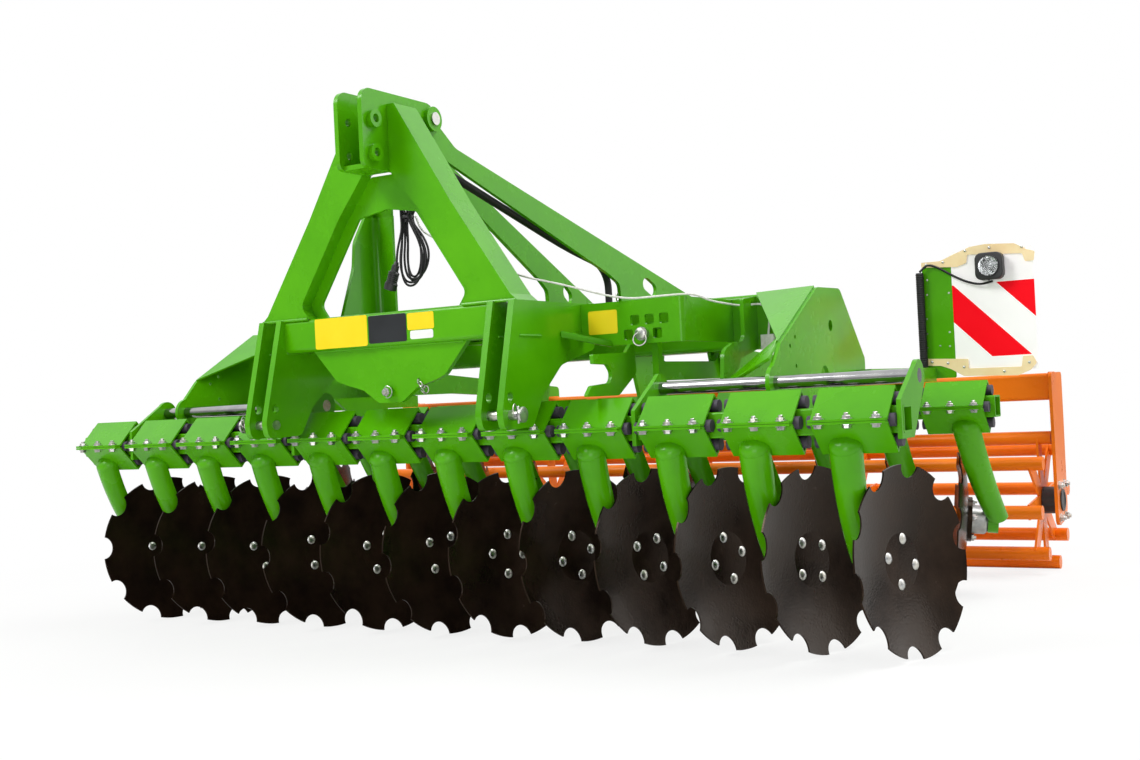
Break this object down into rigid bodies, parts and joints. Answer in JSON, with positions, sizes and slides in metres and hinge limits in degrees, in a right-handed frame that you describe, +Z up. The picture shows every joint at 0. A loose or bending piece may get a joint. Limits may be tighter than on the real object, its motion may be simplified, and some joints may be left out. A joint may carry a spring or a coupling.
{
  "type": "disc harrow",
  "caption": "Three-point mounted compact disc harrow: two rows of notched dished discs on rubber-sprung arms, and a tube roller that sets the depth.",
  "frame": {"origin": "on the floor, in the middle of the machine's length and width", "axes": "-Y towards the tractor, +Z up, +X to the right of someone at the tractor's end who looks at the harrow; X is the working width"},
  "size_m": [3.0928, 2.4557, 1.6607],
  "materials": {
    "bare_steel": "satin",
    "black_cable": "satin",
    "black_iron": "satin",
    "black_plastic": "satin",
    "board_sheet": "satin",
    "chromed_steel": "polished",
    "cream_plastic": "satin",
    "disc_steel": "gloss",
    "green_paint": "gloss",
    "orange_paint": "gloss",
    "rubber": "matt",
    "white_rope": "matt",
    "zinc_steel": "satin"
  },
  "bodies": {
    "frame": {"board_arms": "green_paint", "board_holders": "cream_plastic", "cable_hank": "black_cable", "cable_plug": "black_plastic", "depth_plates": "green_paint", "frame_brackets": "green_paint", "frame_pins": "zinc_steel", "front_crossbeam": "green_paint", "hitch_plates": "green_paint", "lamps": "black_plastic", "lighting_cables": "black_cable", "longerons": "green_paint", "main_box_beam": "green_paint", "pull_rope": "white_rope", "rear_beam_hangers": "green_paint", "rear_clamp_caps": "green_paint", "rear_disc_arms": "green_paint", "rear_gang_beam": "green_paint", "rear_hubs": "bare_steel", "rear_rubbers": "rubber", "side_plates": "green_paint", "struts": "green_paint", "top_link_clevis": "green_paint", "tower_frame": "green_paint", "warning_boards": "board_sheet"},
    "front_gang": {"front_gang_beam": "green_paint", "front_clamp_caps": "green_paint", "front_rubbers": "rubber", "front_disc_arms": "green_paint", "front_hubs": "bare_steel", "guide_shafts": "chromed_steel", "shaft_brackets": "green_paint"},
    "roller_frame": {"roller_frame": "orange_paint", "roller_levers": "green_paint", "roller_bearings": "black_iron"},
    "roller": {"roller_cage": "orange_paint"},
    "disc_front_01": {"disc_front_01": "disc_steel"},
    "disc_front_02": {"disc_front_02": "disc_steel"},
    "disc_front_03": {"disc_front_03": "disc_steel"},
    "disc_front_04": {"disc_front_04": "disc_steel"},
    "disc_front_05": {"disc_front_05": "disc_steel"},
    "disc_front_06": {"disc_front_06": "disc_steel"},
    "disc_front_07": {"disc_front_07": "disc_steel"},
    "disc_front_08": {"disc_front_08": "disc_steel"},
    "disc_front_09": {"disc_front_09": "disc_steel"},
    "disc_front_10": {"disc_front_10": "disc_steel"},
    "disc_front_11": {"disc_front_11": "disc_steel"},
    "disc_front_12": {"disc_front_12": "disc_steel"},
    "disc_rear_01": {"disc_rear_01": "disc_steel"},
    "disc_rear_02": {"disc_rear_02": "disc_steel"},
    "disc_rear_03": {"disc_rear_03": "disc_steel"},
    "disc_rear_04": {"disc_rear_04": "disc_steel"},
    "disc_rear_05": {"disc_rear_05": "disc_steel"},
    "disc_rear_06": {"disc_rear_06": "disc_steel"},
    "disc_rear_07": {"disc_rear_07": "disc_steel"},
    "disc_rear_08": {"disc_rear_08": "disc_steel"},
    "disc_rear_09": {"disc_rear_09": "disc_steel"},
    "disc_rear_10": {"disc_rear_10": "disc_steel"},
    "disc_rear_11": {"disc_rear_11": "disc_steel"},
    "disc_rear_12": {"disc_rear_12": "disc_steel"}
  },
  "joints": [
    {"name": "front_gang_shift", "type": "slide", "parent": "frame", "child": "front_gang", "axis": [1, 0, 0], "range_m": [-0.06, 0.06]},
    {"name": "roller_depth", "type": "hinge", "parent": "frame", "child": "roller_frame", "pos_m": [0, -0.22086, 0.815], "axis": [-1, 0, 0], "range_deg": [0, 5]},
    {"name": "roller_spin", "type": "hinge", "parent": "roller_frame", "child": "roller", "pos_m": [0, 0.96914, 0.25871], "axis": [1, 0, 0], "continuous": true},
    {"name": "disc_front_01_spin", "type": "hinge", "parent": "front_gang", "child": "disc_front_01", "pos_m": [-1.3125, -0.78086, 0.25172], "axis": [0.9552, -0.2829, 0.0872], "continuous": true},
    {"name": "disc_front_02_spin", "type": "hinge", "parent": "front_gang", "child": "disc_front_02", "pos_m": [-1.0625, -0.78086, 0.25172], "axis": [0.9552, -0.2829, 0.0872], "continuous": true},
    {"name": "disc_front_03_spin", "type": "hinge", "parent": "front_gang", "child": "disc_front_03", "pos_m": [-0.8125, -0.78086, 0.25172], "axis": [0.9552, -0.2829, 0.0872], "continuous": true},
    {"name": "disc_front_04_spin", "type": "hinge", "parent": "front_gang", "child": "disc_front_04", "pos_m": [-0.5625, -0.78086, 0.25172], "axis": [0.9552, -0.2829, 0.0872], "continuous": true},
    {"name": "disc_front_05_spin", "type": "hinge", "parent": "front_gang", "child": "disc_front_05", "pos_m": [-0.3125, -0.78086, 0.25172], "axis": [0.9552, -0.2829, 0.0872], "continuous": true},
    {"name": "disc_front_06_spin", "type": "hinge", "parent": "front_gang", "child": "disc_front_06", "pos_m": [-0.0625, -0.78086, 0.25172], "axis": [0.9552, -0.2829, 0.0872], "continuous": true},
    {"name": "disc_front_07_spin", "type": "hinge", "parent": "front_gang", "child": "disc_front_07", "pos_m": [0.1875, -0.78086, 0.25172], "axis": [0.9552, -0.2829, 0.0872], "continuous": true},
    {"name": "disc_front_08_spin", "type": "hinge", "parent": "front_gang", "child": "disc_front_08", "pos_m": [0.4375, -0.78086, 0.25172], "axis": [0.9552, -0.2829, 0.0872], "continuous": true},
    {"name": "disc_front_09_spin", "type": "hinge", "parent": "front_gang", "child": "disc_front_09", "pos_m": [0.6875, -0.78086, 0.25172], "axis": [0.9552, -0.2829, 0.0872], "continuous": true},
    {"name": "disc_front_10_spin", "type": "hinge", "parent": "front_gang", "child": "disc_front_10", "pos_m": [0.9375, -0.78086, 0.25172], "axis": [0.9552, -0.2829, 0.0872], "continuous": true},
    {"name": "disc_front_11_spin", "type": "hinge", "parent": "front_gang", "child": "disc_front_11", "pos_m": [1.1875, -0.78086, 0.25172], "axis": [0.9552, -0.2829, 0.0872], "continuous": true},
    {"name": "disc_front_12_spin", "type": "hinge", "parent": "front_gang", "child": "disc_front_12", "pos_m": [1.4375, -0.78086, 0.25172], "axis": [0.9552, -0.2829, 0.0872], "continuous": true},
    {"name": "disc_rear_01_spin", "type": "hinge", "parent": "frame", "child": "disc_rear_01", "pos_m": [-1.4375, 0.33314, 0.25172], "axis": [-0.9552, -0.2829, 0.0872], "continuous": true},
    {"name": "disc_rear_02_spin", "type": "hinge", "parent": "frame", "child": "disc_rear_02", "pos_m": [-1.1875, 0.33314, 0.25172], "axis": [-0.9552, -0.2829, 0.0872], "continuous": true},
    {"name": "disc_rear_03_spin", "type": "hinge", "parent": "frame", "child": "disc_rear_03", "pos_m": [-0.9375, 0.33314, 0.25172], "axis": [-0.9552, -0.2829, 0.0872], "continuous": true},
    {"name": "disc_rear_04_spin", "type": "hinge", "parent": "frame", "child": "disc_rear_04", "pos_m": [-0.6875, 0.33314, 0.25172], "axis": [-0.9552, -0.2829, 0.0872], "continuous": true},
    {"name": "disc_rear_05_spin", "type": "hinge", "parent": "frame", "child": "disc_rear_05", "pos_m": [-0.4375, 0.33314, 0.25172], "axis": [-0.9552, -0.2829, 0.0872], "continuous": true},
    {"name": "disc_rear_06_spin", "type": "hinge", "parent": "frame", "child": "disc_rear_06", "pos_m": [-0.1875, 0.33314, 0.25172], "axis": [-0.9552, -0.2829, 0.0872], "continuous": true},
    {"name": "disc_rear_07_spin", "type": "hinge", "parent": "frame", "child": "disc_rear_07", "pos_m": [0.0625, 0.33314, 0.25172], "axis": [-0.9552, -0.2829, 0.0872], "continuous": true},
    {"name": "disc_rear_08_spin", "type": "hinge", "parent": "frame", "child": "disc_rear_08", "pos_m": [0.3125, 0.33314, 0.25172], "axis": [-0.9552, -0.2829, 0.0872], "continuous": true},
    {"name": "disc_rear_09_spin", "type": "hinge", "parent": "frame", "child": "disc_rear_09", "pos_m": [0.5625, 0.33314, 0.25172], "axis": [-0.9552, -0.2829, 0.0872], "continuous": true},
    {"name": "disc_rear_10_spin", "type": "hinge", "parent": "frame", "child": "disc_rear_10", "pos_m": [0.8125, 0.33314, 0.25172], "axis": [-0.9552, -0.2829, 0.0872], "continuous": true},
    {"name": "disc_rear_11_spin", "type": "hinge", "parent": "frame", "child": "disc_rear_11", "pos_m": [1.0625, 0.33314, 0.25172], "axis": [-0.9552, -0.2829, 0.0872], "continuous": true},
    {"name": "disc_rear_12_spin", "type": "hinge", "parent": "frame", "child": "disc_rear_12", "pos_m": [1.3125, 0.33314, 0.25172], "axis": [-0.9552, -0.2829, 0.0872], "continuous": true}
  ]
}
